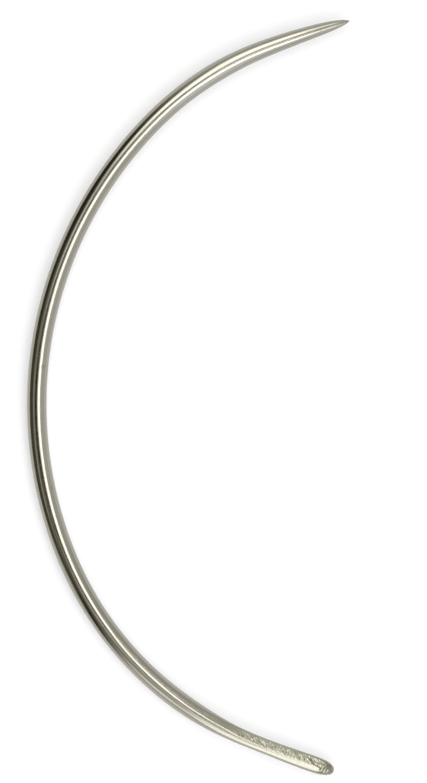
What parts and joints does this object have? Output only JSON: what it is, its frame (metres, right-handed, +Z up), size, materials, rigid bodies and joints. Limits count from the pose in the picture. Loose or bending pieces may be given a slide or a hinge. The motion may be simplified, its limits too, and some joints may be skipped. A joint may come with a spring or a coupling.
{
  "type": "curved upholstery needle",
  "caption": "Round-point curved upholstery needle: steel wire bent in an open bow, with a long tapered point and a pressed eye end with a guttered slot eye.",
  "frame": {"origin": "on the surface that the needle lies flat on, under the middle of its bounding box", "axes": "+Y along the chord from the eye end to the point, +X from the back of the bow to its open side, +Z up out of the plane of the bow"},
  "size_m": [0.0382, 0.0916, 0.0024],
  "materials": {
    "nickel_plate": "polished nickel plate over drawn steel wire, warm grey, with fine drawing lines along the shank and a filed, uneven eye end"
  },
  "bodies": {
    "root": {"needle": "nickel_plate"}
  },
  "joints": []
}
